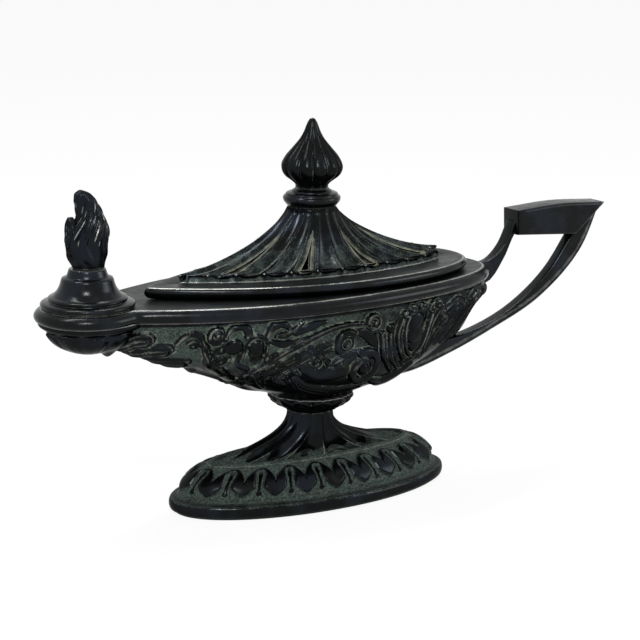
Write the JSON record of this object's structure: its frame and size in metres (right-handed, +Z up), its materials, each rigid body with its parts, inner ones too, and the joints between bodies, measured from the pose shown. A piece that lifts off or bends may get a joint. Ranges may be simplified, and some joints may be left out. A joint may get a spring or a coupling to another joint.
{
  "type": "genie oil lamp",
  "caption": "Footed genie oil lamp in dark cast metal: boat-shaped bowl with scrolled relief, fluted pierced lid with onion finial, loop handle, and a nozzle cap with a cast flame.",
  "frame": {"origin": "centre of the foot's felt underside, on the surface that the lamp stands on", "axes": "+X from the spout towards the handle, +Z up, +Y away from the pictured side"},
  "size_m": [0.2463, 0.0714, 0.1416],
  "materials": {
    "patinated_bronze": "cast bronze with a near-black patina, satin, with green-grey verdigris in the recesses and worn edges",
    "plain_brass": "spun brass, satin, slightly tarnished",
    "zinc_steel": "zinc-plated steel",
    "felt": "dark green wool felt",
    "cotton_wick": "braided cotton"
  },
  "bodies": {
    "stand": {"foot": "patinated_bronze", "foot_felt": "felt", "tie_bolt": "zinc_steel", "tie_washer": "zinc_steel", "tie_nut": "zinc_steel", "bowl": "patinated_bronze", "rim_deck": "patinated_bronze", "handle": "patinated_bronze", "handle_screw_low": "zinc_steel", "handle_screw_high": "zinc_steel", "wick_holder": "plain_brass", "wick": "cotton_wick"},
    "dish": {"incense_dish": "plain_brass"},
    "lid": {"lid_plate": "patinated_bronze", "locating_ring": "patinated_bronze", "lid_dome": "patinated_bronze", "finial_collar": "patinated_bronze", "finial": "patinated_bronze", "finial_stud": "zinc_steel", "finial_washer": "zinc_steel", "finial_nut": "zinc_steel"},
    "cap": {"nozzle_cap": "patinated_bronze", "flame": "patinated_bronze", "flame_screw": "zinc_steel"}
  },
  "joints": [
    {"name": "lid_lift", "type": "slide", "parent": "stand", "child": "lid", "axis": [0, 0, 1], "range_m": [0, 0.04]},
    {"name": "cap_lift", "type": "slide", "parent": "stand", "child": "cap", "axis": [0, 0, 1], "range_m": [0, 0.03]},
    {"name": "dish_lift", "type": "slide", "parent": "stand", "child": "dish", "axis": [0, 0, 1], "range_m": [0, 0.018]}
  ]
}
